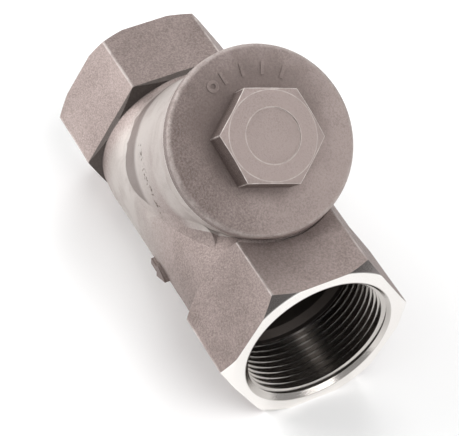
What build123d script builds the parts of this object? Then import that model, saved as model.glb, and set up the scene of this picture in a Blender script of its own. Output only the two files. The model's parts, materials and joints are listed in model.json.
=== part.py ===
"""Y strainer with two female pipe threads, a screwed branch cap and a removable screen.

Frame: millimetres, +Z up. The origin is the centre of the inlet face. The pipe axis is X, with the flow
along +X, and the branch leans towards the outlet in the XZ plane.
"""
from build123d import *
from math import ceil, cos, radians, sin, sqrt, tan
import os

# ---- driving dimensions: body -------------------------------------------------------------------------
body_length = 122.0          # face to face
port_flats = 55.0            # across the flats of both hexagon ends
port_hex_length = 25.0       # length of a hexagon ridge, with its outer chamfer
port_chamfer = 2.5           # outer chamfer, measured along a ridge
port_face_radius = 28.6      # where the outer chamfer meets the machined face
inlet_shoulder = 2.4         # length of the cone behind the inlet hexagon
outlet_shoulder = 3.2        # length of the cone behind the outlet hexagon
barrel_end_radius = 27.6     # cast barrel where it meets either hexagon
barrel_radius = 28.3         # cast barrel at its fullest
barrel_full_at = 33.0        # distance of that place from the inlet face
belly_relief = 0.2           # the barrel stays this far above the flats that the body rests on
passage_radius = 21.0        # plain bore between the threads and the chamber
branch_angle = 51.0          # between the pipe axis and the branch axis
branch_start = 41.6          # where the branch axis crosses the pipe axis
branch_length = 56.0         # from that crossing to the gasket face
branch_radius = 27.2         # cast neck
collar_radius = 28.0         # ground collar that carries the gasket face
collar_height = 6.0
collar_flare = 4.0           # cone between neck and collar
neck_blend = 6.0             # cast fillet between neck and barrel

# ---- driving dimensions: pipe thread (G 1 1/2, 11 turns to the inch) ----------------------------------
pipe_pitch = 2.309
pipe_minor_radius = 22.60    # at the upper limit of the thread's tolerance
pipe_major_radius = 23.90
pipe_flank = 27.5            # half of the thread angle, degrees
pipe_crest = 0.57            # flat left on the bore between two turns
pipe_thread_length = 21.0
pipe_mouth_radius = 24.6     # of the countersink in the face
thread_lead = 1.0            # length of each thread cutter outside its mouth
thread_cut_over = 0.12       # how far a thread cutter stands proud of the surface it cuts
cut_over = 1.0               # how far a turned cutter reaches past the surface it trims

# ---- driving dimensions: cap thread (45 x 2) ----------------------------------------------------------
cap_pitch = 2.0
cap_major_radius = 22.4
cap_root_radius = 21.1
cap_crest = 0.25             # flat on top of the male ridge
cap_flank = 30.0
cap_thread_length = 15.5     # skirt below the gasket
cap_runout_turns = 0.5       # turns of thread left out between the male groove and the disc
cap_thread_play = 0.2        # radial clearance over the male crest
cap_flank_play = 0.12        # axial clearance on each flank
branch_bore_radius = 21.42   # minor radius of the female cap thread
branch_thread_length = 17.0
branch_mouth_radius = 22.75  # counterbore that clears the run-out of the male thread
branch_mouth_depth = 1.5

# ---- driving dimensions: cap --------------------------------------------------------------------------
gasket_thickness = 1.5
gasket_outer_radius = 26.8
gasket_inner_radius = 22.9
cap_disc_radius = 29.0
cap_disc_thickness = 5.0
cap_disc_round = 1.3
head_flats = 28.0
head_height = 10.0
head_turn = 12.0             # of the cap head about its axis when the cap is tight
head_chamfer = 0.9           # depth of the chamfer at the corners
head_chamfer_in = 0.5        # from the flats to the round top face
recess_radius = 8.4
recess_depth = 0.35
cap_wall = 1.5               # of the threaded skirt, inside the thread roots
skirt_chamfer = 1.0
mark_height = 0.35           # raised cast marks on the disc, four bars and a ring
mark_radius = 21.5
mark_length = 4.0
mark_width = 1.1
mark_count = 4
mark_start = -37.0
mark_arc = 51.0
mark_ring_radius = 1.9
mark_ring_at = 25.0
rim_clearance = 1.0          # radial, between the cap's rim and the body

# ---- driving dimensions: screen -----------------------------------------------------------------------
seat_height = 7.0            # screen seat, from the crossing of the axes
seat_depth = 1.5             # of the locating recess around the screen's end
seat_wall = 3.0              # partition under the seat
seat_hole_radius = 17.2
screen_length = 43.0
sheet_radius = 18.6          # outside of the perforated sheet
sheet_thickness = 0.5
mesh_thickness = 0.3
ring_thickness = 0.5
ring_height = 5.0
screen_play = 0.3            # radial, around the rings

# ---- driving dimensions: flow arrow -------------------------------------------------------------------
arrow_length = 10.0
arrow_width = 6.0
arrow_bar = 2.4
arrow_height = 1.2           # above the fullest part of the barrel
arrow_place = 70.0           # its middle, from the inlet face
arrow_drop = 8.0             # below the pipe axis

# ---- derived values -----------------------------------------------------------------------------------
corner_radius = port_flats / sqrt(3)
head_corner_radius = head_flats / sqrt(3)
lean = radians(branch_angle)
branch_axis = Vector(cos(lean), 0, sin(lean))
branch_across = Vector(-sin(lean), 0, cos(lean))
branch_origin = Vector(branch_start, 0, 0)
ring_radius = sheet_radius + ring_thickness
seat_radius = ring_radius + screen_play
mesh_radius = sheet_radius - sheet_thickness
cap_seat = branch_length + gasket_thickness
cap_top = cap_seat + cap_disc_thickness
skirt_end = cap_seat - cap_thread_length
cap_bore_radius = cap_root_radius - cap_wall
screen_top = seat_height + screen_length
arrow_reach = sqrt(barrel_radius ** 2 - arrow_drop ** 2) + arrow_height - passage_radius
branch_section = Plane(branch_origin, x_dir=branch_across, z_dir=branch_across.cross(branch_axis))


def branch_plane(height):
    """A plane square to the branch axis, at a height above the crossing of the axes."""
    return Plane(branch_origin + branch_axis * height, x_dir=branch_across, z_dir=branch_axis)


def pipe_plane(x):
    """A plane square to the pipe axis, facing downstream."""
    return Plane.YZ.offset(x)


def turned_over(plane):
    """The same plane and X direction, facing the other way."""
    return Plane(plane.origin, x_dir=plane.x_dir, z_dir=-plane.z_dir)


def thread_groove(mouth_radius, root_radius, mouth_half, root_half, pitch, length):
    """A helical V cutter about Z that starts on X: it is widest at the mouth and narrowest at the root."""
    outwards = 1 if root_radius > mouth_radius else -1
    slope = (mouth_half - root_half) / (root_radius - mouth_radius)
    over = thread_cut_over * outwards
    with BuildPart() as groove:
        with BuildLine():
            Helix(pitch=pitch, height=length, radius=mouth_radius)
        with BuildSketch(Plane.XZ):
            with BuildLine():
                Polyline(
                    (mouth_radius - over, -mouth_half - slope * over),
                    (root_radius, -root_half),
                    (root_radius, root_half),
                    (mouth_radius - over, mouth_half + slope * over),
                    close=True,
                )
            make_face()
        sweep(is_frenet=True)
    return groove.part


# ---- passages, used as cutters ------------------------------------------------------------------------
with BuildPart() as inlet_passage:
    with BuildSketch(pipe_plane(0)):
        Circle(passage_radius)
    extrude(amount=body_length)
    split(bisect_by=branch_plane(seat_height - seat_wall), keep=Keep.BOTTOM)

with BuildPart() as outlet_passage:
    with BuildSketch(pipe_plane(branch_start)):
        Circle(passage_radius)
    extrude(amount=body_length - branch_start)
    split(bisect_by=branch_plane(seat_height + seat_depth), keep=Keep.TOP)

pipe_mouth_half = pipe_pitch / 2 - pipe_crest / 2
pipe_root_half = pipe_mouth_half - (pipe_major_radius - pipe_minor_radius) * tan(radians(pipe_flank))
pipe_groove = thread_groove(
    pipe_minor_radius, pipe_major_radius, pipe_mouth_half, pipe_root_half, pipe_pitch,
    pipe_thread_length + thread_lead)

female_root_radius = cap_major_radius + cap_thread_play
female_root_half = (cap_crest / 2 + cap_flank_play
                    - (female_root_radius - cap_major_radius) * tan(radians(cap_flank)))
female_mouth_half = (cap_crest / 2 + cap_flank_play
                     + (cap_major_radius - branch_bore_radius) * tan(radians(cap_flank)))
branch_groove = thread_groove(
    branch_bore_radius, female_root_radius, female_mouth_half, female_root_half, cap_pitch,
    branch_thread_length + thread_lead)

male_mouth_half = (cap_pitch - cap_crest) / 2
male_root_half = male_mouth_half - (cap_major_radius - cap_root_radius) * tan(radians(cap_flank))
thread_datum = branch_length + thread_lead
male_thread_start = thread_datum - (ceil((thread_datum - skirt_end) / cap_pitch) + 0.5) * cap_pitch
male_thread_end = cap_seat - cap_runout_turns * cap_pitch
cap_groove = thread_groove(
    cap_major_radius, cap_root_radius, male_mouth_half, male_root_half, cap_pitch,
    male_thread_end - male_thread_start)

# ---- hexagon ends, with a cone on each end of every ridge ---------------------------------------------
with BuildPart() as hexagon_ends:
    for face, inwards, shoulder in ((0, 1, inlet_shoulder), (body_length, -1, outlet_shoulder)):
        with BuildSketch(pipe_plane(face)):
            RegularPolygon(port_flats / 2, 6, major_radius=False)
        extrude(amount=inwards * (port_hex_length + shoulder))
    with BuildSketch(Plane.XZ):
        for face, inwards, shoulder in ((0, 1, inlet_shoulder), (body_length, -1, outlet_shoulder)):
            ridge_start = face + inwards * port_chamfer
            ridge_end = face + inwards * port_hex_length
            with BuildLine():
                Polyline(
                    (face, port_face_radius),
                    (ridge_start, corner_radius),
                    (ridge_start, corner_radius + cut_over),
                    (face, corner_radius + cut_over),
                    close=True,
                )
            make_face()
            with BuildLine():
                Polyline(
                    (ridge_end, corner_radius),
                    (ridge_end + inwards * shoulder, port_flats / 2),
                    (ridge_end + inwards * shoulder, corner_radius + cut_over),
                    (ridge_end, corner_radius + cut_over),
                    close=True,
                )
            make_face()
    revolve(axis=Axis.X, mode=Mode.SUBTRACT)

# ---- valve body ---------------------------------------------------------------------------------------
with BuildPart() as valve_body:
    # the cast barrel, blended into the branch neck
    with BuildSketch(Plane.XZ):
        with BuildLine():
            Polyline(
                (port_hex_length, 0),
                (port_hex_length, barrel_end_radius),
                (barrel_full_at, barrel_radius),
                (body_length - port_hex_length, barrel_end_radius),
                (body_length - port_hex_length, 0),
                close=True,
            )
        make_face()
    revolve(axis=Axis.X)
    neck_length = branch_length - collar_height - collar_flare
    with BuildSketch(branch_plane(0)):
        Circle(branch_radius)
    extrude(amount=neck_length)
    fillet(valve_body.edges().filter_by(GeomType.BSPLINE), neck_blend)
    split(bisect_by=Plane.XY.offset(belly_relief - port_flats / 2), keep=Keep.TOP)
    add(hexagon_ends.part)
    # the collar, with a short flare below it
    with BuildSketch(branch_section):
        with BuildLine():
            Polyline(
                (0, neck_length - collar_flare),
                (branch_radius, neck_length - collar_flare),
                (branch_radius, neck_length),
                (collar_radius, neck_length + collar_flare),
                (collar_radius, branch_length),
                (0, branch_length),
                close=True,
            )
        make_face()
    revolve(axis=Axis(branch_origin, branch_axis))
    # the faced seat for the gasket also clears the rim of the cap
    with BuildSketch(branch_plane(branch_length)):
        Circle(cap_disc_radius + rim_clearance)
    extrude(amount=gasket_thickness + cap_disc_thickness + head_height, mode=Mode.SUBTRACT)
    # raised flow arrow on both sides of the barrel
    for side in (1, -1):
        arrow_foot = (arrow_place, -side * passage_radius, -arrow_drop)
        with BuildSketch(Plane(arrow_foot, x_dir=(1, 0, 0), z_dir=(0, -side, 0))):
            with BuildLine():
                Polyline(
                    (-arrow_length / 2, -arrow_bar / 2),
                    (arrow_length / 2 - arrow_width, -arrow_bar / 2),
                    (arrow_length / 2 - arrow_width, -arrow_width / 2),
                    (arrow_length / 2, 0),
                    (arrow_length / 2 - arrow_width, arrow_width / 2),
                    (arrow_length / 2 - arrow_width, arrow_bar / 2),
                    (-arrow_length / 2, arrow_bar / 2),
                    close=True,
                )
            make_face()
        extrude(amount=arrow_reach)
    # passages, chamber and screen seat
    add(inlet_passage.part, mode=Mode.SUBTRACT)
    add(outlet_passage.part, mode=Mode.SUBTRACT)
    with BuildSketch(branch_plane(seat_height + seat_depth)):
        Circle(branch_bore_radius)
    extrude(amount=branch_length, mode=Mode.SUBTRACT)
    with BuildSketch(branch_plane(seat_height)):
        Circle(seat_radius)
    extrude(amount=2 * seat_depth, mode=Mode.SUBTRACT)
    with BuildSketch(branch_plane(seat_height - seat_wall - cut_over)):
        Circle(seat_hole_radius)
    extrude(amount=2 * seat_wall, mode=Mode.SUBTRACT)
    # threaded ports and cap thread: plain bore, then the groove, then the countersunk mouth
    with BuildSketch(Plane.XZ):
        for face, inwards in ((0, 1), (body_length, -1)):
            with BuildLine():
                Polyline(
                    (face, 0),
                    (face, pipe_minor_radius),
                    (face + inwards * (pipe_thread_length + pipe_pitch), pipe_minor_radius),
                    (face + inwards * (pipe_thread_length + 2 * pipe_pitch), passage_radius),
                    (face + inwards * (pipe_thread_length + 2 * pipe_pitch), 0),
                    close=True,
                )
            make_face()
    revolve(axis=Axis.X, mode=Mode.SUBTRACT)
    add(pipe_groove.moved(pipe_plane(-thread_lead).location), mode=Mode.SUBTRACT)
    add(pipe_groove.moved(turned_over(pipe_plane(body_length + thread_lead)).location), mode=Mode.SUBTRACT)
    add(branch_groove.moved(turned_over(branch_plane(thread_datum)).location), mode=Mode.SUBTRACT)
    with BuildSketch(branch_plane(branch_length)):
        Circle(branch_mouth_radius)
    extrude(amount=-branch_mouth_depth, mode=Mode.SUBTRACT)
    with BuildSketch(Plane.XZ):
        for face, inwards in ((0, 1), (body_length, -1)):
            with BuildLine():
                Polyline(
                    (face, 0),
                    (face, pipe_mouth_radius),
                    (face + inwards * (pipe_mouth_radius - pipe_minor_radius), pipe_minor_radius),
                    (face + inwards * (pipe_mouth_radius - pipe_minor_radius), 0),
                    close=True,
                )
            make_face()
    revolve(axis=Axis.X, mode=Mode.SUBTRACT)
valve_body.part.label = "valve_body"

# ---- cap gasket ---------------------------------------------------------------------------------------
with BuildPart() as cap_gasket:
    with BuildSketch(branch_plane(branch_length)):
        Circle(gasket_outer_radius)
        Circle(gasket_inner_radius, mode=Mode.SUBTRACT)
    extrude(amount=gasket_thickness)
cap_gasket.part.label = "cap_gasket"

# ---- screen cap, made upright and then set on the branch axis -----------------------------------------
head_plane = Plane.XY.offset(cap_top).rotated((0, 0, head_turn))
with BuildPart() as screen_cap:
    with BuildSketch(Plane.XY.offset(skirt_end)):
        Circle(cap_major_radius)
    extrude(amount=cap_thread_length)
    add(cap_groove.moved(Location((0, 0, male_thread_start))), mode=Mode.SUBTRACT)
    with BuildSketch(Plane.XZ):
        with BuildLine():
            Polyline(
                (cap_major_radius - skirt_chamfer, skirt_end),
                (cap_major_radius, skirt_end + skirt_chamfer),
                (cap_major_radius + cut_over, skirt_end + skirt_chamfer),
                (cap_major_radius + cut_over, skirt_end),
                close=True,
            )
        make_face()
    revolve(axis=Axis.Z, mode=Mode.SUBTRACT)
    with BuildSketch(Plane.XY.offset(cap_seat)):
        Circle(cap_disc_radius)
    extrude(amount=cap_disc_thickness)
    fillet(screen_cap.faces().sort_by(Axis.Z)[-1].edges(), cap_disc_round)
    with BuildSketch(head_plane):
        RegularPolygon(head_flats / 2, 6, major_radius=False)
    extrude(amount=head_height)
    with BuildSketch(Plane.XZ):
        with BuildLine():
            Polyline(
                (head_flats / 2 - head_chamfer_in, cap_top + head_height),
                (head_corner_radius, cap_top + head_height - head_chamfer),
                (head_corner_radius + cut_over, cap_top + head_height - head_chamfer),
                (head_corner_radius + cut_over, cap_top + head_height),
                close=True,
            )
        make_face()
    revolve(axis=Axis.Z, mode=Mode.SUBTRACT)
    with BuildSketch(Plane.XY.offset(skirt_end)):
        Circle(cap_bore_radius)
    extrude(amount=screen_top - skirt_end + screen_play, mode=Mode.SUBTRACT)
    with BuildSketch(Plane.XY.offset(cap_top + head_height - recess_depth)):
        Circle(recess_radius)
    extrude(amount=2 * recess_depth, mode=Mode.SUBTRACT)
    # cast marks: short bars and one ring on an arc of the disc
    with BuildSketch(Plane.XY.offset(cap_top)):
        with PolarLocations(mark_radius, mark_count, mark_start, mark_arc, endpoint=True):
            Rectangle(mark_length, mark_width)
        with PolarLocations(mark_radius, 1, start_angle=mark_ring_at):
            Circle(mark_ring_radius)
            Circle(mark_ring_radius - mark_width, mode=Mode.SUBTRACT)
    extrude(amount=mark_height)
cap_solid = screen_cap.part.moved(branch_plane(0).location)
cap_solid.label = "screen_cap"

# ---- screen: perforated sheet, mesh lining and two bands ----------------------------------------------
with BuildPart() as screen_sheet:
    with BuildSketch(branch_plane(seat_height)):
        Circle(sheet_radius)
        Circle(mesh_radius, mode=Mode.SUBTRACT)
    extrude(amount=screen_length)
screen_sheet.part.label = "screen_sheet"

with BuildPart() as screen_mesh:
    with BuildSketch(branch_plane(seat_height)):
        Circle(mesh_radius)
        Circle(mesh_radius - mesh_thickness, mode=Mode.SUBTRACT)
    extrude(amount=screen_length)
screen_mesh.part.label = "screen_mesh"

with BuildPart() as screen_seat_ring:
    with BuildSketch(branch_plane(seat_height)):
        Circle(ring_radius)
        Circle(sheet_radius, mode=Mode.SUBTRACT)
    extrude(amount=ring_height)
screen_seat_ring.part.label = "screen_seat_ring"

with BuildPart() as screen_cap_ring:
    with BuildSketch(branch_plane(screen_top - ring_height)):
        Circle(ring_radius)
        Circle(sheet_radius, mode=Mode.SUBTRACT)
    extrude(amount=ring_height)
screen_cap_ring.part.label = "screen_cap_ring"

os.makedirs("parts", exist_ok=True)
for piece in (valve_body.part, cap_gasket.part, cap_solid, screen_sheet.part, screen_mesh.part,
              screen_seat_ring.part, screen_cap_ring.part):
    export_step(piece, "parts/" + piece.label + ".step")
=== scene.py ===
# %% [markdown]
# # A y strainer in cast stainless steel
# A y strainer is a short length of pipe with a branch that leans downstream. Water goes in at one
# hexagon end, through a tube of perforated sheet in the branch, and out at the other end. A hexagon
# cap closes the branch, and unscrewing it frees the tube for cleaning.
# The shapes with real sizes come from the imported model. This file adds the camera, the light, the
# finishes, and the fine sheet-metal pieces that are too detailed for the solid model.

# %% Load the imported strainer
import json
from math import cos, pi, radians, sin

import bmesh
import bpy
import numpy as np
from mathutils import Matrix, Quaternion, Vector


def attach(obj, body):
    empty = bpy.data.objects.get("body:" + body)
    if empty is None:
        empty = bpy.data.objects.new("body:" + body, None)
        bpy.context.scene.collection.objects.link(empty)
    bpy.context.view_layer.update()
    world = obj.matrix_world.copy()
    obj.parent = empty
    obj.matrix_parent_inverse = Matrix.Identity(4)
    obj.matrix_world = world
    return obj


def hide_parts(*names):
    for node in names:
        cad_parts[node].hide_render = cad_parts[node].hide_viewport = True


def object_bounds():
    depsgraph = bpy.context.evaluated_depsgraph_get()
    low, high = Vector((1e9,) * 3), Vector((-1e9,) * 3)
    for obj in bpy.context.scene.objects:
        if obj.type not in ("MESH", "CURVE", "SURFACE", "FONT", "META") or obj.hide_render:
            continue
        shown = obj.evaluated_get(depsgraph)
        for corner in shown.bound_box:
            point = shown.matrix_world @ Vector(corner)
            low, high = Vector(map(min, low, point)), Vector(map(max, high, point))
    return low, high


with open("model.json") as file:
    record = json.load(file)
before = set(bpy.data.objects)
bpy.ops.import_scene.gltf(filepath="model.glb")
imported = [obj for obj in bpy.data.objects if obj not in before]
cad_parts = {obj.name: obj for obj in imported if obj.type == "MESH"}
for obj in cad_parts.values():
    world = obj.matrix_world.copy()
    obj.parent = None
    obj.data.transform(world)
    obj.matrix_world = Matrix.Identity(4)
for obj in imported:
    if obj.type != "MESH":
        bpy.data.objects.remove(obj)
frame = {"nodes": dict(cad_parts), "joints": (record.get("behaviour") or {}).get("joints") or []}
cad_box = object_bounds()
nodes = frame["nodes"]

# %% [markdown]
# ## Where things are
# The pipe axis is X, and the branch axis is the axis that the cap turns about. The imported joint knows
# that axis, so the places of the branch's pieces are worked out from it and from the CAD meshes.

# %% Read the axes and a few sizes from the frame
MM = 0.001
cap_joint = next(joint for joint in frame["joints"] if joint["name"] == "cap_turn")
branch_axis = np.array(cap_joint["axis"], float)
branch_foot = np.array(cap_joint["pos_m"], float)
branch_side = np.array((0.0, 1.0, 0.0))
branch_across = np.cross(branch_side, branch_axis)
body_length = cad_box[1].x
print("branch axis", branch_axis.round(3), "length", round(body_length, 4))


def branch_reach(name):
    """Lowest and highest place along the branch axis, and the largest radius about it, of one CAD node."""
    mesh = nodes[name].data
    points = np.empty(len(mesh.vertices) * 3, np.float32)
    mesh.vertices.foreach_get("co", points)
    points = points.reshape(-1, 3) - branch_foot
    along = points @ branch_axis
    radius = np.linalg.norm(points - np.outer(along, branch_axis), axis=1)
    return float(along.min()), float(along.max()), float(radius.max())


# %% [markdown]
# ## The camera
# A long lens from above the outlet end keeps the hexagons from flaring. The camera is placed by its
# distance and two angles round a point inside the body, which is easier to adjust than a position,
# and a small roll tips the view. The azimuth is nought straight in front, on the minus Y side, and
# grows towards the outlet.

# %% Set the camera
AIM = Vector((0.0703, -0.0040, 0.0058))
DISTANCE = 0.672
AZIMUTH, ELEVATION, ROLL = radians(61.3), radians(47.8), radians(2.6)
FOCAL_LENGTH = 169.8
SENSOR_WIDTH = 36

towards_camera = Vector((sin(AZIMUTH) * cos(ELEVATION), -cos(AZIMUTH) * cos(ELEVATION), sin(ELEVATION)))
lens = bpy.data.cameras.new("camera")
lens.lens = FOCAL_LENGTH
lens.sensor_width = SENSOR_WIDTH
camera = bpy.data.objects.new("camera", lens)
camera.location = AIM + towards_camera * DISTANCE
camera.rotation_mode = "QUATERNION"
camera.rotation_quaternion = (-towards_camera).to_track_quat("-Z", "Y") @ Quaternion((0, 0, 1), ROLL)
bpy.context.scene.collection.objects.link(camera)
bpy.context.scene.camera = camera
bpy.context.scene.view_settings.view_transform = "Standard"
print("camera at", tuple(round(value, 4) for value in camera.location))

# %% [markdown]
# ## Making a mesh from arrays
# Each new piece is a surface worked out with numpy. A grid of points has rows and columns, and every
# four neighbours make one face. Whole arrays go into the mesh at once with foreach_set, which is far
# quicker than adding points one by one, and doubled points on the seams are merged at the end.

# %% Mesh helpers
MERGE_DISTANCE = 1e-6


def grid_faces(rows, columns, around=False):
    """Four corners for each cell of a grid of points, numbered row by row; around joins the last column
    to the first."""
    numbers = np.arange(rows * columns).reshape(rows, columns)
    if around:
        numbers = np.hstack([numbers, numbers[:, :1]])
    corners = (numbers[:-1, :-1], numbers[:-1, 1:], numbers[1:, 1:], numbers[1:, :-1])
    return np.stack(corners, axis=-1).reshape(-1, 4)


def piece_from_quads(name, points, quads, smooth=True):
    """A mesh object from an array of points and an array of four-cornered faces, with doubles merged."""
    mesh = bpy.data.meshes.new(name)
    mesh.vertices.add(len(points))
    mesh.vertices.foreach_set("co", np.asarray(points, np.float32).ravel())
    mesh.loops.add(quads.size)
    mesh.loops.foreach_set("vertex_index", quads.astype(np.int32).ravel())
    mesh.polygons.add(len(quads))
    mesh.polygons.foreach_set("loop_start", np.arange(len(quads), dtype=np.int32) * 4)
    mesh.update(calc_edges=True)
    mesh.validate()
    merged = bmesh.new()
    merged.from_mesh(mesh)
    bmesh.ops.remove_doubles(merged, verts=merged.verts, dist=MERGE_DISTANCE)
    bmesh.ops.recalc_face_normals(merged, faces=merged.faces)
    merged.to_mesh(mesh)
    merged.free()
    mesh.polygons.foreach_set("use_smooth", np.full(len(mesh.polygons), smooth))
    piece = bpy.data.objects.new(name, mesh)
    bpy.context.scene.collection.objects.link(piece)
    print(name, len(mesh.polygons), "faces")
    return piece


def on_branch(radius, angle, height):
    """Points at a radius, an angle and a height about the branch axis: the foot of the branch, plus
    radius times the across and side directions turned by the angle, plus height times the axis."""
    radius, angle, height = np.broadcast_arrays(radius, angle, height)
    across = (radius * np.cos(angle))[..., None] * branch_across
    side = (radius * np.sin(angle))[..., None] * branch_side
    return branch_foot + across + side + height[..., None] * branch_axis


# %% [markdown]
# ## The perforated sheet
# The screen is stainless sheet punched with staggered round holes, rolled into a tube and joined with
# a spot-welded lap. A boolean with four hundred cylinders would be slow and untidy, so the sheet is
# made of cells: each cell is a rectangle with a round hole, drawn once in the flat, and copies of it
# are wrapped round the tube. Every second row is shifted by half a cell. Rim and rectangle have the same
# number of points, so that rings of faces join them.

# %% Sizes of the screen tube, from its CAD nodes
sheet_low, sheet_high, sheet_radius = branch_reach("screen_sheet")
mesh_low, mesh_high, lining_radius = branch_reach("screen_mesh")
ring_low, ring_high, _ = branch_reach("screen_seat_ring")
band_height = ring_high - ring_low
sheet_inside = lining_radius
print("screen", round((sheet_high - sheet_low) / MM, 1), "mm long, radius", round(sheet_radius / MM, 2))

# %% One punched cell in the flat
HOLES_AROUND = 34
HOLE_ROWS = 11
HOLE_RADIUS = 1.05 * MM
RIM_POINTS = 12
PLAIN_MARGIN = band_height

cell_width = 2 * pi * sheet_radius / HOLES_AROUND
cell_height = (sheet_high - sheet_low - 2 * PLAIN_MARGIN) / HOLE_ROWS
rim_steps = np.arange(RIM_POINTS) * (2 * pi / RIM_POINTS)
hole_rim = HOLE_RADIUS * np.stack([np.cos(rim_steps), np.sin(rim_steps)], axis=1)
cell_edge = np.array([(2, 0), (2, 2), (1, 2), (0, 2), (-1, 2), (-2, 2), (-2, 0), (-2, -2), (-1, -2),
                      (0, -2), (1, -2), (2, -2)]) * (cell_width / 4, cell_height / 4)
print("cell", round(cell_width / MM, 2), "by", round(cell_height / MM, 2), "mm")


# %% Wrap the cells into a tube
def wrapped(flat, radius):
    """Points of the flat sheet on a tube: the distance along the first axis over the outer radius is the
    angle, and the second axis is the height."""
    return on_branch(radius, flat[..., 0] / sheet_radius, sheet_low + flat[..., 1])


def perforated_tube():
    """Every cell's faces outside and inside, the wall of every hole, and a plain band at both ends. A band
    is an outline of five points carried round the tube, without the side that meets the cells."""
    columns, rows = np.meshgrid(np.arange(HOLES_AROUND), np.arange(HOLE_ROWS))
    centres = np.stack([(columns + (rows % 2) / 2) * cell_width,
                        PLAIN_MARGIN + (rows + 0.5) * cell_height], axis=-1).reshape(-1, 1, 2)
    rims, edges = centres + hole_rim, centres + cell_edge
    loops = np.stack([wrapped(edges, sheet_radius), wrapped(rims, sheet_radius),
                      wrapped(rims, sheet_inside), wrapped(edges, sheet_inside)], axis=1)
    cells = len(loops)
    one_cell = grid_faces(4, len(rim_steps), around=True)
    quads = (one_cell[None] + np.arange(cells)[:, None, None] * 4 * len(rim_steps)).reshape(-1, 4)
    points = loops.reshape(-1, 3)
    quarter_steps = np.arange(HOLES_AROUND * 4) * cell_width / 4
    for low, high in ((0, PLAIN_MARGIN), (sheet_high - sheet_low - PLAIN_MARGIN, sheet_high - sheet_low)):
        heights, radii = np.array([(low, high, high, low, low), (1, 1, 0, 0, 1)], float)
        outline = np.where(radii > 0, sheet_radius, sheet_inside)
        flat = np.stack(np.broadcast_arrays(quarter_steps[None, :], heights[:, None]), axis=-1)
        band = wrapped(flat, outline[:, None])
        faces = grid_faces(5, len(quarter_steps), around=True).reshape(4, -1, 4)
        joined_edge = 1 if low == 0 else 3
        faces = np.delete(faces, joined_edge, axis=0).reshape(-1, 4)
        quads = np.vstack([quads, faces + len(points)])
        points = np.vstack([points, band.reshape(-1, 3)])
    return points, quads


perforated_sheet = piece_from_quads("perforated_sheet", *perforated_tube(), smooth=False)

# %% [markdown]
# ## The lap seam
# Where the rolled sheet overlaps itself it is spot welded. The lap is a thin strip that follows the
# tube, with its long edges eased down to the sheet, and each weld is a small round dimple. Both are a
# formula for the strip's height above the sheet, so a fine grid shows them as real shape.

# %% The strip and its dimples
LAP_ANGLE = radians(16)
LAP_THICKNESS = 0.42 * MM
LAP_EDGE = 0.12
LAP_SUNK = 0.05 * MM
WELD_COUNT = 6
WELD_RADIUS = 1.0 * MM
WELD_DEPTH = 0.22 * MM


def lap_strip(rows=133, columns=33):
    """Height above the tube: a flat top that drops to the sheet over a short edge on all four sides, less
    a bell-shaped dimple at every weld, which is the depth times e to minus the squared distance over
    the squared weld radius."""
    along, across = np.meshgrid(np.linspace(0, 1, rows), np.linspace(-1, 1, columns), indexing="ij")
    low, high = sheet_low + band_height, sheet_high - band_height
    height = low + along * (high - low)
    inside = np.clip((1 - np.abs(across)) / LAP_EDGE, 0, 1)
    welds = low + (np.arange(WELD_COUNT) + 0.5) * (high - low) / WELD_COUNT
    sideways = across * LAP_ANGLE / 2 * sheet_radius
    squared = (height[..., None] - welds) ** 2 + sideways[..., None] ** 2
    dimples = WELD_DEPTH * np.exp(-squared / WELD_RADIUS ** 2).sum(axis=-1)
    radius = sheet_radius - LAP_SUNK + LAP_THICKNESS * np.sqrt(inside) - dimples
    points = on_branch(radius, pi + across * LAP_ANGLE / 2, height).reshape(-1, 3)
    return points, grid_faces(rows, columns)


lap_seam = piece_from_quads("lap_seam", *lap_strip())

# %% [markdown]
# ## The woven lining
# Inside the sheet lies a fine woven mesh. Each wire is a thin tube that swings over one neighbour and
# under the next, so its distance from the axis is a cosine wave. The wires along the tube and the
# wires round it use opposite waves where they cross, and that is what makes them weave.

# %% Weave the wires
WIRES_AROUND = 110
WIRES_ALONG = 42
WIRE_RADIUS = 0.07 * MM
WIRE_SIDES = 4
STEPS_PER_WIRE = 3
WEAVE_GAP = 0.2

weave_radius = lining_radius - (2 + WEAVE_GAP) * WIRE_RADIUS
weave_swing = WIRE_RADIUS
wire_turns = np.arange(WIRE_SIDES) * 2 * pi / WIRE_SIDES


def tubes(radius, angle, height, closed):
    """Thin tubes along many wires at once: each section is a small ring, swelled by the wire's radius times
    the cosine of its turn in the radial direction, and spread by the wire's radius times the sine of its
    turn in the direction that the wire does not run. Closed wires join up; open ones get end caps."""
    swell = WIRE_RADIUS * np.cos(wire_turns)
    spread = WIRE_RADIUS * np.sin(wire_turns)
    radius = radius[..., None] + swell
    if closed:
        height = height[..., None] + spread
        angle = angle[..., None] + 0 * spread
    else:
        angle = angle[..., None] + spread / weave_radius
        height = height[..., None] + 0 * spread
    points = on_branch(radius, angle, height)
    wires, steps, sides = points.shape[:3]
    numbers = np.arange(wires * steps * sides).reshape(wires, steps, sides)
    if closed:
        numbers = np.concatenate([numbers, numbers[:, :1]], axis=1)
    around = np.concatenate([numbers, numbers[..., :1]], axis=2)
    corners = (around[:, :-1, :-1], around[:, :-1, 1:], around[:, 1:, 1:], around[:, 1:, :-1])
    quads = np.stack(corners, axis=-1).reshape(-1, 4)
    if not closed:
        quads = np.vstack([quads, numbers[:, 0, ::-1], numbers[:, -1]])
    return points.reshape(-1, 3), quads


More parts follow.
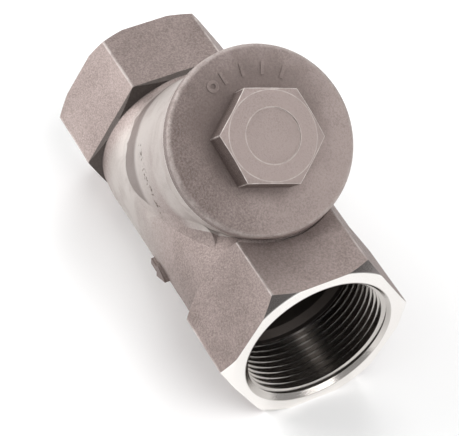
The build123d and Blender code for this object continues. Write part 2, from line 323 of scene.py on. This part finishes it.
def long_wires():
    """Wire number i runs along the tube at its own angle; its radius is the weave's plus a swing times
    the cosine of pi times the crossing number less a half plus i."""
    wire = np.arange(WIRES_AROUND)[:, None]
    crossing = np.linspace(0, WIRES_ALONG, WIRES_ALONG * STEPS_PER_WIRE + 1)[None, :]
    height = mesh_low + crossing / WIRES_ALONG * (mesh_high - mesh_low) + 0 * wire
    angle = wire * 2 * pi / WIRES_AROUND + 0 * crossing
    radius = weave_radius + weave_swing * np.cos(pi * (crossing - 0.5 + wire))
    return tubes(radius, angle, height, closed=False)


def round_wires():
    """Wire number j goes round the tube at its own height; its radius is the weave's less the swing times
    the cosine of pi times the crossing number plus j."""
    wire = np.arange(WIRES_ALONG)[:, None]
    crossing = np.arange(WIRES_AROUND * STEPS_PER_WIRE)[None, :] / STEPS_PER_WIRE
    height = mesh_low + (wire + 0.5) / WIRES_ALONG * (mesh_high - mesh_low) + 0 * crossing
    angle = crossing * 2 * pi / WIRES_AROUND + 0 * wire
    radius = weave_radius - weave_swing * np.cos(pi * (crossing + wire))
    return tubes(radius, angle, height, closed=True)


mesh_long_wires = piece_from_quads("mesh_long_wires", *long_wires())
mesh_round_wires = piece_from_quads("mesh_round_wires", *round_wires())

# %% Put the screen pieces on the screen's body
for piece in (perforated_sheet, lap_seam, mesh_long_wires, mesh_round_wires):
    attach(piece, "screen")
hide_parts("screen_sheet")
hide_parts("screen_sheet")
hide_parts("screen_mesh")
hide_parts("screen_mesh")

# %% [markdown]
# ## Building a finish from nodes
# A finish is a chain of nodes: something measures where a point is, noise breaks it up, and the result
# sets colour, roughness and the height of small bumps. Typing every node out hides that idea, so these
# helpers add one node each and hand back its output, and a finish then reads like a sum.

# %% Node helpers
def new_finish(name):
    """A material with a Principled shader, and the point's own place on the object to start from."""
    material = bpy.data.materials.new(name)
    material.use_nodes = True
    tree = material.node_tree
    tree.nodes.clear()
    shader = tree.nodes.new("ShaderNodeBsdfPrincipled")
    output = tree.nodes.new("ShaderNodeOutputMaterial")
    tree.links.new(shader.outputs["BSDF"], output.inputs["Surface"])
    place = tree.nodes.new("ShaderNodeTexCoord").outputs["Object"]
    return material, tree, shader, place


def fill(tree, socket, value):
    """Links a socket to another node's output, or sets it to a number or a colour."""
    if isinstance(value, bpy.types.NodeSocket):
        tree.links.new(value, socket)
    elif value is not None:
        socket.default_value = value


def arithmetic(tree, operation, *values, clamp=False):
    """One Math node."""
    node = tree.nodes.new("ShaderNodeMath")
    node.operation = operation
    node.use_clamp = clamp
    for socket, value in zip(node.inputs, values):
        fill(tree, socket, value)
    return node.outputs[0]


def vector(tree, operation, *values):
    """One Vector Math node; dot products and lengths come out as numbers."""
    node = tree.nodes.new("ShaderNodeVectorMath")
    node.operation = operation
    for socket, value in zip(node.inputs, values):
        fill(tree, socket, value)
    return node.outputs["Value" if operation in ("DOT_PRODUCT", "LENGTH") else "Vector"]


def rise(tree, value, low, high):
    """Nought below low, one above high, and a smooth rise between; low may be the larger, to fall."""
    node = tree.nodes.new("ShaderNodeMapRange")
    node.interpolation_type = "SMOOTHSTEP"
    fill(tree, node.inputs["Value"], value)
    node.inputs["From Min"].default_value = low
    node.inputs["From Max"].default_value = high
    return node.outputs["Result"]


def noise(tree, place, size, detail=3.0, roughness=0.55, distortion=0.0):
    """Soft random blotches of about the given size, from nought to one."""
    node = tree.nodes.new("ShaderNodeTexNoise")
    fill(tree, node.inputs["Vector"], place)
    node.inputs["Scale"].default_value = 1 / size
    node.inputs["Detail"].default_value = detail
    node.inputs["Roughness"].default_value = roughness
    node.inputs["Distortion"].default_value = distortion
    return node.outputs["Fac"]


def mixed(tree, share, first, second):
    """The first colour where share is nought and the second where it is one."""
    node = tree.nodes.new("ShaderNodeMix")
    node.data_type = "RGBA"
    fill(tree, node.inputs[0], share)
    fill(tree, node.inputs[6], first)
    fill(tree, node.inputs[7], second)
    return node.outputs[2]


def bumps(tree, height, depth, normal=None):
    """Small bumps: the height, from nought to one, times the depth in metres, on top of other bumps."""
    node = tree.nodes.new("ShaderNodeBump")
    node.inputs["Distance"].default_value = depth
    fill(tree, node.inputs["Height"], height)
    if normal is not None:
        fill(tree, node.inputs["Normal"], normal)
    return node.outputs["Normal"]


def blend_numbers(tree, share, first, second):
    """The first number plus the share times the second less the first."""
    return arithmetic(tree, "ADD", first, arithmetic(tree, "MULTIPLY", share, arithmetic(
        tree, "SUBTRACT", second, first)))


def from_pipe(tree, place):
    """Radius about the pipe axis, place along it, and distance from the nearer end face."""
    radius = vector(tree, "LENGTH", vector(tree, "MULTIPLY", place, (0, 1, 1)))
    along = vector(tree, "DOT_PRODUCT", place, (1, 0, 0))
    from_end = arithmetic(tree, "MINIMUM", along, arithmetic(tree, "SUBTRACT", body_length, along))
    return radius, along, from_end


def from_branch(tree, place):
    """Height along the branch axis; radius about it, which is the length of what is left of the point when
    its part along the axis is taken away; and the place measured from the foot of the branch."""
    local = vector(tree, "SUBTRACT", place, tuple(branch_foot))
    height = vector(tree, "DOT_PRODUCT", local, tuple(branch_axis))
    scale = tree.nodes.new("ShaderNodeVectorMath")
    scale.operation = "SCALE"
    scale.inputs[0].default_value = tuple(branch_axis)
    fill(tree, scale.inputs["Scale"], height)
    return height, vector(tree, "LENGTH", vector(tree, "SUBTRACT", local, scale.outputs["Vector"])), local


# %% [markdown]
# ## Blasted cast steel
# An investment casting is shot blasted before it is machined, which leaves a fine even grain and a
# warm grey with a trace of mauve. Soft patches and a fine grain set the tone, and the grain sets the
# bumps too. Corners catch rubs in handling, and a painted highlight runs along them, so ridges are a
# little lighter. A shade number paints shade on some parts of the steel and light on others.

# %% Colours of the steel
BLASTED = (0.42, 0.35, 0.33, 1)
BLASTED_DARK = (0.20, 0.16, 0.148, 1)
GROUND = (0.53, 0.49, 0.465, 1)
TURNED = (0.93, 0.90, 0.87, 1)
# ridges of the hexagons: rubbed steel with a painted highlight
RUBBED_AND_HIGHLIT = (0.58, 0.53, 0.51, 1)
# edges of the cap: rubbed steel with a painted highlight
EDGE_WEAR_AND_HIGHLIGHT = (0.78, 0.72, 0.69, 1)
# painted reflection on the upper side of the port chamfers
CHAMFER_PAINTED_REFLECTION = (0.15, 0.13, 0.125, 1)
# threads: darker than turned steel, as painted shade inside the port
THREAD_STEEL_SHADED = (0.62, 0.585, 0.555, 1)
# near black: painted shade on the inlet hexagon's shoulder and inside the passage
PAINTED_SHADOW_DARK = (0.07, 0.06, 0.055, 1)
PIT = (0.075, 0.05, 0.03, 1)

# the two sizes of noise in the grain, and how much each darkens the steel
PATCH_SIZE, PATCH_SHARE = 17 * MM, 0.24
GRAIN_SIZE, GRAIN_SHARE = 0.62 * MM, 0.50


def blasted_grain(tree, place, shade=0.0):
    """The colour of blasted steel and the height of its grain. The tone is the patches times their share,
    plus the grain times its share, plus a shade: painted shade above nought, painted light below."""
    patches = rise(tree, noise(tree, place, PATCH_SIZE, detail=4, distortion=0.4), 0.36, 0.68)
    grain = noise(tree, place, GRAIN_SIZE, detail=5, roughness=0.75)
    tone = arithmetic(tree, "ADD", arithmetic(tree, "MULTIPLY", patches, PATCH_SHARE),
                      arithmetic(tree, "MULTIPLY", rise(tree, grain, 0.36, 0.64), GRAIN_SHARE))
    tone = arithmetic(tree, "ADD", tone, shade, clamp=True)
    return mixed(tree, tone, BLASTED, BLASTED_DARK), grain


# %% [markdown]
# ## The body's zones
# The body is one casting with three finishes. The hexagons stay as blasted. The barrel and the neck
# are ground by hand, which leaves them lighter, smoother and blotchy. The port faces, with fine rings
# round the pipe axis, and the threads are turned. Each zone is a mask made from distances and from the
# way the surface faces, so the borders fall exactly where the tools reached.

# %% Finish of the body
# the unit for borders between zones, which are soft over a few of these
HAIR = 0.1 * MM

# hexagons, port faces, threads and the branch's bore
HEX_END = 27.5 * MM
SHOULDER_LENGTH = 2.6 * MM
CORNER_RADIUS = 31.75 * MM
RIDGE_FADE = 3 * MM
MOUTH_RADIUS = 24.8 * MM
FACE_RADIUS = 28.6 * MM
CHAMFER_END = 2.7 * MM
THREAD_END = 22.0 * MM
BRANCH_BORE, BRANCH_BORE_FOOT = 23.0 * MM, 37 * MM
TURN_PITCH = 0.16 * MM

# the barrel and the neck, where the grinder reached
BARREL_RADIUS = 28.3 * MM
COLLAR_RADIUS = 28.0 * MM
GROUND_FADE = 11 * MM
GROUND_FULL, GROUND_GONE = 44 * MM, 80 * MM
NECK_LOW, NECK_HIGH = 33 * MM, 40 * MM
NECK_SHARE = 0.75
BLOTCH_SIZE = 11 * MM

# painted shade and painted light on the blasted steel: flats that look up and all the rest, at the inlet and
# at the outlet
OUTLET_FROM, OUTLET_TO = 70 * MM, 97 * MM
INLET_TOP, INLET_REST = 0.30, -0.04
OUTLET_TOP, OUTLET_REST = -0.02, 0.27
# how much of the painted shade on the shoulder, the painted reflection on the chamfers, the darker arrows
# and the pits is mixed in
SHOULDER_SHADE_SHARE, CHAMFER_REFLECTION_SHARE, ARROW_SHARE, PIT_SHARE = 0.85, 0.9, 0.8, 0.8

# flow arrows, and a line of casting pits
ARROW_LOW, ARROW_HIGH = 18 * MM, 22 * MM
ARROW_FROM, ARROW_FULL = HEX_END + 4 * MM, HEX_END + 5 * MM
PIT_HEIGHT = 29 * MM
PIT_BOW = 27.0
PIT_SIZE = 1.3 * MM
PITS_DENSE, PITS_WIDE = 0.9 * MM, 2.3 * MM
PITS_REACH, PITS_REACH_FADE = 12.5 * MM, 2 * MM
PITS_SIDE, PITS_SIDE_FADE = 20 * MM, 3 * MM

# roughness and bump depth
BLASTED_ROUGH, GROUND_ROUGH, TURNED_ROUGH, THREAD_ROUGH = 0.60, 0.48, 0.24, 0.17
CAST_DEPTH, RING_DEPTH, PIT_DEPTH = 0.16 * MM, 0.004 * MM, 0.35 * MM


def body_finish():
    """Blasted hexagons, a ground barrel and neck, and turned faces and threads. The bow of the pits lifts
    their line by the squared distance across the branch times a constant per metre."""
    material, tree, shader, place = new_finish("cast_body")
    radius, along, from_end = from_pipe(tree, place)
    height, neck_radius, local = from_branch(tree, place)
    normal = tree.nodes.new("ShaderNodeNewGeometry").outputs["True Normal"]
    facing_up = vector(tree, "DOT_PRODUCT", normal, (0, 0, 1))
    # painted shade and painted light by the way a face looks and the half of the body it is on
    top_flat = rise(tree, facing_up, 0.90, 0.97)
    outlet_half = rise(tree, along, OUTLET_FROM, OUTLET_TO)
    shade = blend_numbers(tree, outlet_half, blend_numbers(tree, top_flat, INLET_REST, INLET_TOP),
                          blend_numbers(tree, top_flat, OUTLET_REST, OUTLET_TOP))
    colour, grain = blasted_grain(tree, place, shade)

    # ground barrel and neck: fades out towards the outlet hexagon, and blotchy everywhere
    blotch = noise(tree, place, BLOTCH_SIZE, detail=3, distortion=0.8)
    past_inlet = rise(tree, along, HEX_END, HEX_END + GROUND_FADE)
    before_outlet = rise(tree, along, GROUND_GONE, GROUND_FULL)
    barrel = arithmetic(tree, "MULTIPLY", past_inlet, before_outlet)
    by_branch = rise(tree, neck_radius, COLLAR_RADIUS + 1.5 * HAIR, COLLAR_RADIUS + 0.5 * HAIR)
    neck = arithmetic(tree, "MULTIPLY", rise(tree, height, NECK_LOW, NECK_HIGH), by_branch)
    worked = arithmetic(tree, "MAXIMUM", barrel, arithmetic(tree, "MULTIPLY", neck, NECK_SHARE))
    ground = arithmetic(tree, "MULTIPLY", worked, blend_numbers(
        tree, rise(tree, blotch, 0.66, 0.42), 0.62, 1.0), clamp=True)
    colour = mixed(tree, ground, colour, GROUND)

    # painted shade on the sheltered shoulder of the inlet hexagon
    shoulder_from = HEX_END - SHOULDER_LENGTH
    shoulder = arithmetic(tree, "MULTIPLY", rise(tree, along, shoulder_from, shoulder_from + 4 * HAIR),
                          rise(tree, along, HEX_END + 4 * HAIR, HEX_END - HAIR))
    colour = mixed(tree, arithmetic(tree, "MULTIPLY", shoulder, SHOULDER_SHADE_SHARE), colour, PAINTED_SHADOW_DARK)

    # turned faces and threads, the threads painted darker as painted shade inside the port; the passage is
    # painted near black as painted shade
    facing_out = arithmetic(tree, "ABSOLUTE", vector(tree, "DOT_PRODUCT", normal, (1, 0, 0)))
    end_face = arithmetic(tree, "MULTIPLY", rise(tree, facing_out, 0.55, 0.65),
                          rise(tree, from_end, CHAMFER_END + HAIR, CHAMFER_END))
    inside = rise(tree, radius, MOUTH_RADIUS + HAIR, MOUTH_RADIUS)
    thread = arithmetic(tree, "MULTIPLY", inside, rise(tree, from_end, THREAD_END, THREAD_END - 3 * HAIR))
    bore = arithmetic(tree, "MULTIPLY", rise(tree, neck_radius, BRANCH_BORE + HAIR, BRANCH_BORE),
                      rise(tree, height, BRANCH_BORE_FOOT, BRANCH_BORE_FOOT + 5 * HAIR))
    turned = arithmetic(tree, "MAXIMUM", arithmetic(tree, "MAXIMUM", end_face, thread), bore)
    colour = mixed(tree, turned, colour, TURNED)
    colour = mixed(tree, thread, colour, THREAD_STEEL_SHADED)
    # painted reflection: the upper side of each port chamfer is painted dark, as if it mirrored a dark part
    # of the room
    upper_chamfer = arithmetic(tree, "MULTIPLY", rise(tree, radius, FACE_RADIUS, FACE_RADIUS + 3 * HAIR),
                               arithmetic(tree, "MULTIPLY", end_face, rise(tree, facing_up, 0.15, 0.5)))
    colour = mixed(tree, arithmetic(tree, "MULTIPLY", upper_chamfer, CHAMFER_REFLECTION_SHARE), colour, CHAMFER_PAINTED_REFLECTION)
    passage = arithmetic(tree, "MULTIPLY", inside, rise(tree, from_end, THREAD_END - 3 * HAIR, THREAD_END))
    colour = mixed(tree, passage, colour, PAINTED_SHADOW_DARK)

    # rubbed ridges of the hexagons, with a painted highlight along them
    ridge = rise(tree, radius, CORNER_RADIUS - 3.4 * HAIR, CORNER_RADIUS - HAIR)
    ridge = arithmetic(tree, "MULTIPLY", ridge, rise(tree, from_end, HEX_END, HEX_END - RIDGE_FADE))
    ridge = arithmetic(tree, "MULTIPLY", ridge, blend_numbers(
        tree, rise(tree, noise(tree, place, 5 * MM), 0.38, 0.62), 0.35, 0.85))
    colour = mixed(tree, ridge, colour, RUBBED_AND_HIGHLIT)

    # the raised flow arrows are painted darker than the barrel round them
    arrow = rise(tree, radius, BARREL_RADIUS + 3.5 * HAIR, BARREL_RADIUS + 6 * HAIR)
    clear_of_hexagons = rise(tree, from_end, ARROW_FROM, ARROW_FULL)
    arrow = arithmetic(tree, "MULTIPLY", arrow, clear_of_hexagons)
    arrow = arithmetic(tree, "MULTIPLY", arrow, rise(tree, height, ARROW_HIGH, ARROW_LOW))
    colour = mixed(tree, arithmetic(tree, "MULTIPLY", arrow, ARROW_SHARE), colour, BLASTED_DARK)

    # a bowed line of small casting pits low on one side of the neck
    across = vector(tree, "DOT_PRODUCT", local, tuple(branch_across))
    bow = arithmetic(tree, "MULTIPLY", arithmetic(tree, "MULTIPLY", across, across), PIT_BOW)
    from_line = arithmetic(tree, "ABSOLUTE", arithmetic(tree, "SUBTRACT", arithmetic(
        tree, "ADD", height, bow), PIT_HEIGHT))
    within_reach = rise(tree, arithmetic(tree, "ABSOLUTE", across), PITS_REACH, PITS_REACH - PITS_REACH_FADE)
    line = arithmetic(tree, "MULTIPLY", rise(tree, from_line, PITS_WIDE, PITS_DENSE), within_reach)
    side = vector(tree, "DOT_PRODUCT", place, tuple(branch_side))
    line = arithmetic(tree, "MULTIPLY", line, rise(tree, side, -PITS_SIDE, -PITS_SIDE - PITS_SIDE_FADE))
    spots = rise(tree, noise(tree, place, PIT_SIZE, detail=2, roughness=0.5), 0.54, 0.61)
    pits = arithmetic(tree, "MULTIPLY", line, spots)
    colour = mixed(tree, arithmetic(tree, "MULTIPLY", pits, PIT_SHARE), colour, PIT)

    fill(tree, shader.inputs["Base Color"], colour)
    shader.inputs["Metallic"].default_value = 1.0
    gloss = blend_numbers(tree, ground, BLASTED_ROUGH, GROUND_ROUGH)
    gloss = blend_numbers(tree, turned, gloss, TURNED_ROUGH)
    gloss = blend_numbers(tree, thread, gloss, THREAD_ROUGH)
    fill(tree, shader.inputs["Roughness"], arithmetic(tree, "ADD", gloss, arithmetic(
        tree, "MULTIPLY", arithmetic(tree, "SUBTRACT", grain, 0.5), 0.16)))

    cast = arithmetic(tree, "MULTIPLY", grain, blend_numbers(tree, arithmetic(
        tree, "MAXIMUM", ground, turned), 1.0, 0.12))
    rings = arithmetic(tree, "SINE", arithmetic(tree, "MULTIPLY", radius, 2 * pi / TURN_PITCH))
    rings = arithmetic(tree, "MULTIPLY", arithmetic(tree, "MULTIPLY", rings, end_face), 0.5)
    shape = bumps(tree, cast, CAST_DEPTH)
    shape = bumps(tree, rings, RING_DEPTH, shape)
    shape = bumps(tree, arithmetic(tree, "MULTIPLY", pits, -1.0), PIT_DEPTH, shape)
    fill(tree, shader.inputs["Normal"], shape)
    return material


# %% [markdown]
# ## The cap
# The cap is cast and blasted like the hexagons. The disc has painted shade on one side, and grime with
# painted shade round the foot of the head. The head's top has painted light and its walls painted shade,
# the raised marks have painted light on top and painted shade on their walls, and spanners and fingers
# have rubbed the rim and every edge of the head, which also get a painted highlight. Its threaded skirt
# is turned.

# %% Finish of the cap
_, cap_high, cap_radius = branch_reach("screen_cap")
_, disc_foot, _ = branch_reach("cap_gasket")
# the hexagon head and the raised marks
HEAD_HEIGHT = 10 * MM
HEAD_CORNER = 16.17 * MM
HEAD_FLAT = 14.0 * MM
HEAD_TURN = radians(12)
CHAMFER_START = 13.5 * MM
CHAMFER_SLOPE = 0.9 / 2.67
RECESS_RADIUS = 8.4 * MM
MARKS_INSIDE = 18.5 * MM
head_foot = cap_high - HEAD_HEIGHT

# painted shade and painted light on the blasted steel, and where the disc's painted dark side starts and
# ends
DARK_SIDE, DARK_ENDS = -30 * MM, 2 * MM
DISC_DARK, DISC_LIGHT = 0.55, -0.26
HEAD_SHADE, WALL_SHADE = -0.48, 0.60
MARK_SHADE, MARK_WALL_SHADE = -0.35, 1.2

# grime with painted shade round the head, and wear with a painted highlight
GRIME_REACH, GRIME_LEAN = 19 * MM, 0.25
GRIME_CLOUD, GRIME_SWING = 7 * MM, 10 * MM
GRIME_FADE, GRIME_FULL = 7 * MM, -5 * MM
CAP_GRIME_AND_SHADE_SHARE = 0.75
RIM_WEAR_AND_HIGHLIGHT, TOP_WEAR_AND_HIGHLIGHT = 0.3, 0.4
RIM_WIDTH, RIM_DEPTH = 1.6 * MM, 2.6 * MM
WEAR_SIZE = 3 * MM
CAP_CAST_DEPTH = 0.30 * MM


def to_hexagon(tree, local):
    """How far the point reaches towards the nearest flat of the head: the largest of its parts along the
    three directions square to the flats, each taken without its sign."""
    reach = 0.0
    for turn in range(3):
        angle = HEAD_TURN + radians(30 + 60 * turn)
        square = branch_across * cos(angle) + np.cross(branch_axis, branch_across) * sin(angle)
        part = arithmetic(tree, "ABSOLUTE", vector(tree, "DOT_PRODUCT", local, tuple(square)))
        reach = arithmetic(tree, "MAXIMUM", part, reach)
    return reach


def cap_finish():
    """A head with painted light on top and painted shade on its walls, rubbed edges with a painted
    highlight, on a disc with painted shade at one side. The edge between a wall and the chamfer lies
    where the depth below the top equals the slope times the radius past the chamfer's start."""
    material, tree, shader, place = new_finish("cast_cap")
    height, radius, local = from_branch(tree, place)
    sideways = vector(tree, "DOT_PRODUCT", local, tuple(branch_side))
    on_head = arithmetic(tree, "MULTIPLY", rise(tree, height, head_foot + 2 * HAIR, head_foot + 5 * HAIR),
                         rise(tree, radius, HEAD_CORNER + 4 * HAIR, HEAD_CORNER + 2 * HAIR))
    normal = tree.nodes.new("ShaderNodeNewGeometry").outputs["True Normal"]
    facing_up = arithmetic(tree, "ABSOLUTE", vector(tree, "DOT_PRODUCT", normal, tuple(branch_axis)))
    wall = arithmetic(tree, "MULTIPLY", on_head, rise(tree, facing_up, 0.5, 0.3))
    # painted shade on one side of the disc, on the head's walls and on the marks' walls; painted light on
    # the head and on the marks' tops
    shade = blend_numbers(tree, rise(tree, sideways, DARK_SIDE, DARK_ENDS), DISC_DARK, DISC_LIGHT)
    shade = blend_numbers(tree, on_head, shade, HEAD_SHADE)
    shade = blend_numbers(tree, wall, shade, WALL_SHADE)
    marks = arithmetic(tree, "MULTIPLY", rise(tree, height, head_foot + 0.2 * HAIR, head_foot + 0.8 * HAIR),
                       rise(tree, radius, MARKS_INSIDE - 5 * HAIR, MARKS_INSIDE))
    mark_walls = arithmetic(tree, "MULTIPLY", marks, rise(tree, facing_up, 0.7, 0.4))
    shade = blend_numbers(tree, marks, shade, MARK_SHADE)
    shade = blend_numbers(tree, mark_walls, shade, MARK_WALL_SHADE)
    colour, grain = blasted_grain(tree, place, shade)

    # grime and painted shade round the foot of the head, thicker on the low side
    lowness = arithmetic(tree, "MULTIPLY", vector(tree, "DOT_PRODUCT", local, tuple(branch_across)), -1.0)
    reach = arithmetic(tree, "ADD", GRIME_REACH, arithmetic(tree, "MULTIPLY", lowness, GRIME_LEAN))
    cloud = arithmetic(tree, "SUBTRACT", noise(tree, place, GRIME_CLOUD), 0.5)
    cloud = arithmetic(tree, "MULTIPLY", cloud, GRIME_SWING)
    away = arithmetic(tree, "ADD", arithmetic(tree, "SUBTRACT", radius, reach), cloud)
    grime_and_shade = arithmetic(tree, "MULTIPLY", rise(tree, away, GRIME_FADE, GRIME_FULL),
                       rise(tree, height, head_foot + 8 * HAIR, head_foot + 2 * HAIR))
    colour = mixed(tree, arithmetic(tree, "MULTIPLY", grime_and_shade, CAP_GRIME_AND_SHADE_SHARE), colour, BLASTED_DARK)

    # rubbed rim of the disc and edges of the head, with a painted highlight along them
    rim = arithmetic(tree, "MULTIPLY", rise(tree, radius, cap_radius - RIM_WIDTH, cap_radius - 5 * HAIR),
                     rise(tree, height, head_foot - RIM_DEPTH, head_foot - 6 * HAIR))
    corner = rise(tree, radius, HEAD_CORNER - 2.2 * HAIR, HEAD_CORNER - 0.8 * HAIR)
    corner = arithmetic(tree, "MULTIPLY", corner, on_head)
    chamfer_fall = arithmetic(tree, "SUBTRACT", radius, CHAMFER_START)
    chamfer_fall = arithmetic(tree, "MULTIPLY", chamfer_fall, CHAMFER_SLOPE)
    below_top = arithmetic(tree, "SUBTRACT", cap_high, height)
    to_chamfer = arithmetic(tree, "ABSOLUTE", arithmetic(tree, "SUBTRACT", below_top, chamfer_fall))
    wall_top = arithmetic(tree, "MULTIPLY", rise(tree, to_chamfer, 2.4 * HAIR, HAIR),
                          rise(tree, to_hexagon(tree, local), HEAD_FLAT - 2.2 * HAIR, HEAD_FLAT - HAIR))
    from_arc = arithmetic(tree, "ABSOLUTE", arithmetic(tree, "SUBTRACT", radius, CHAMFER_START))
    arc = arithmetic(tree, "MULTIPLY", rise(tree, from_arc, 2.2 * HAIR, 0.8 * HAIR), on_head)
    from_recess = arithmetic(tree, "ABSOLUTE", arithmetic(tree, "SUBTRACT", radius, RECESS_RADIUS))
    recess = arithmetic(tree, "MULTIPLY", rise(tree, from_recess, 3 * HAIR, 1.2 * HAIR), on_head)
    edges = arithmetic(tree, "MAXIMUM", arithmetic(tree, "MAXIMUM", corner, wall_top),
                       arithmetic(tree, "MULTIPLY", arithmetic(tree, "MAXIMUM", arc, recess), TOP_WEAR_AND_HIGHLIGHT))
    wear_and_highlight = arithmetic(tree, "MAXIMUM", arithmetic(tree, "MULTIPLY", rim, RIM_WEAR_AND_HIGHLIGHT), edges)
    uneven = rise(tree, noise(tree, place, WEAR_SIZE), 0.38, 0.62)
    wear_and_highlight = arithmetic(tree, "MULTIPLY", wear_and_highlight, blend_numbers(tree, uneven, 0.45, 1.0))
    colour = mixed(tree, wear_and_highlight, colour, EDGE_WEAR_AND_HIGHLIGHT)

    # turned skirt and underside
    turned = rise(tree, height, disc_foot + 3 * HAIR, disc_foot + HAIR)
    colour = mixed(tree, turned, colour, TURNED)

    fill(tree, shader.inputs["Base Color"], colour)
    shader.inputs["Metallic"].default_value = 1.0
    gloss = blend_numbers(tree, turned, blend_numbers(tree, wear_and_highlight, 0.56, 0.42), 0.26)
    fill(tree, shader.inputs["Roughness"], arithmetic(tree, "ADD", gloss, arithmetic(
        tree, "MULTIPLY", arithmetic(tree, "SUBTRACT", grain, 0.5), 0.2)))
    cast = arithmetic(tree, "MULTIPLY", grain, blend_numbers(tree, turned, 1.0, 0.08))
    fill(tree, shader.inputs["Normal"], bumps(tree, cast, CAP_CAST_DEPTH))
    return material


# %% [markdown]
# ## The gasket
# The flat ring under the cap is a white fluoropolymer. It is not shiny and not quite even: cut
# edges pick up grey from the steel, so noise darkens it in smudges.

# %% Finish of the gasket
def gasket_finish():
    """Off-white, smudged with grey, with a shallow uneven surface."""
    material, tree, shader, place = new_finish("white_gasket")
    smudge = rise(tree, noise(tree, place, 5 * MM, detail=5), 0.42, 0.75)
    fill(tree, shader.inputs["Base Color"], mixed(
        tree, arithmetic(tree, "MULTIPLY", smudge, 0.6), (0.80, 0.78, 0.74, 1), (0.52, 0.50, 0.47, 1)))
    fill(tree, shader.inputs["Roughness"], blend_numbers(tree, smudge, 0.42, 0.6))
    shader.inputs["Subsurface Weight"].default_value = 0.05
    fill(tree, shader.inputs["Normal"], bumps(tree, noise(tree, place, 0.6 * MM), 0.03 * MM))
    return material


# %% [markdown]
# ## Rolled sheet and drawn wire
# Sheet metal has faint lines along the direction it was rolled in. On the tube they run round the
# axis, so the noise is squeezed along the branch axis: close together that way and long round the
# tube. Drawn wire is brighter and needs only a little variation from wire to wire.

# %% Finish of the screen
ROLL_SQUEEZE = 9.0


def squeezed_along_branch(tree, place):
    """The place with its part along the branch axis made larger, so noise on it becomes thin rings."""
    height, _, local = from_branch(tree, place)
    extra = tree.nodes.new("ShaderNodeVectorMath")
    extra.operation = "SCALE"
    extra.inputs[0].default_value = tuple(branch_axis * (ROLL_SQUEEZE - 1))
    fill(tree, extra.inputs["Scale"], height)
    return vector(tree, "ADD", local, extra.outputs["Vector"])


def rolled_finish(name, light, dark, roughness):
    """Steel between a light and a dark tone, with rolling lines and soft stains."""
    material, tree, shader, place = new_finish(name)
    lines = noise(tree, squeezed_along_branch(tree, place), 2.6 * MM, detail=4)
    stain = rise(tree, noise(tree, place, 8 * MM, detail=3), 0.4, 0.75)
    tone = arithmetic(tree, "ADD", arithmetic(tree, "MULTIPLY", lines, 0.5),
                      arithmetic(tree, "MULTIPLY", stain, 0.4))
    fill(tree, shader.inputs["Base Color"], mixed(tree, tone, light, dark))
    shader.inputs["Metallic"].default_value = 1.0
    fill(tree, shader.inputs["Roughness"], arithmetic(tree, "ADD", roughness, arithmetic(
        tree, "MULTIPLY", arithmetic(tree, "SUBTRACT", lines, 0.5), 0.25)))
    fill(tree, shader.inputs["Normal"], bumps(tree, lines, 0.012 * MM))
    return material


# %% Give every piece its finish
def dress(piece, material):
    """Puts one finish on every face of a piece."""
    piece.data.materials.clear()
    piece.data.materials.append(material)


dress(nodes["valve_body"], body_finish())
dress(nodes["screen_cap"], cap_finish())
dress(nodes["cap_gasket"], gasket_finish())
band_steel = rolled_finish("band_steel", (0.70, 0.69, 0.67, 1), (0.46, 0.45, 0.44, 1), 0.34)
sheet_steel = rolled_finish("sheet_steel", (0.66, 0.65, 0.64, 1), (0.40, 0.39, 0.38, 1), 0.38)
wire_steel = rolled_finish("wire_steel", (0.74, 0.73, 0.72, 1), (0.50, 0.49, 0.48, 1), 0.28)
for name in ("screen_seat_ring", "screen_cap_ring"):
    dress(nodes[name], band_steel)
for piece in (perforated_sheet, lap_seam):
    dress(piece, sheet_steel)
for piece in (mesh_long_wires, mesh_round_wires):
    dress(piece, wire_steel)
print("finishes", sorted(material.name for material in bpy.data.materials if material.users))

# %% [markdown]
# ## Floor and light
# Metal shows its surroundings more than its own colour. A pale floor fills everything that faces
# down or outwards with soft white. Three wide area lights, on the left, on the right and behind,
# shape the barrel, and a dim even sky fills the rest.

# %% Floor
FLOOR_HALF = 3.0
FLOOR_STEPS = 13
SKY_STRENGTH = 0.40
PALE, PALE_MOTTLE = (0.98, 0.98, 0.98, 1), (0.965, 0.965, 0.965, 1)


def floor_grid():
    """A level square grid at the height of the lowest CAD point."""
    line = np.linspace(-FLOOR_HALF, FLOOR_HALF, FLOOR_STEPS)
    x, y = np.meshgrid(line, line, indexing="ij")
    points = np.stack([x, y, np.full_like(x, cad_box[0].z)], axis=-1).reshape(-1, 3)
    return points, grid_faces(FLOOR_STEPS, FLOOR_STEPS)


floor = piece_from_quads("floor", *floor_grid())
material, tree, shader, place = new_finish("pale_floor")
mottle = noise(tree, place, 60 * MM)
fill(tree, shader.inputs["Base Color"], mixed(tree, mottle, PALE, PALE_MOTTLE))
shader.inputs["Roughness"].default_value = 0.9
dress(floor, material)


# %% Lights
def soft_light(name, azimuth, elevation, distance, size, watts):
    """A square area light on a sphere round the strainer, turned to face it. Its direction is the sine and
    minus the cosine of the azimuth, both times the cosine of the elevation, and the elevation's sine."""
    a, e = radians(azimuth), radians(elevation)
    away = Vector((sin(a) * cos(e), -cos(a) * cos(e), sin(e)))
    data = bpy.data.lights.new(name, "AREA")
    data.size = size
    data.energy = watts
    light = bpy.data.objects.new(name, data)
    light.location = AIM + away * distance
    light.rotation_mode = "QUATERNION"
    light.rotation_quaternion = (-away).to_track_quat("-Z", "Y")
    bpy.context.scene.collection.objects.link(light)


soft_light("left_softbox", azimuth=-48, elevation=24, distance=1.3, size=1.1, watts=15)
soft_light("right_softbox", azimuth=105, elevation=52, distance=1.4, size=1.0, watts=12)
soft_light("back_softbox", azimuth=-125, elevation=38, distance=1.5, size=0.8, watts=7)

world = bpy.data.worlds.new("studio")
world.use_nodes = True
sky = world.node_tree.nodes["Background"]
sky.inputs["Color"].default_value = (1, 1, 1, 1)
sky.inputs["Strength"].default_value = SKY_STRENGTH
bpy.context.scene.world = world
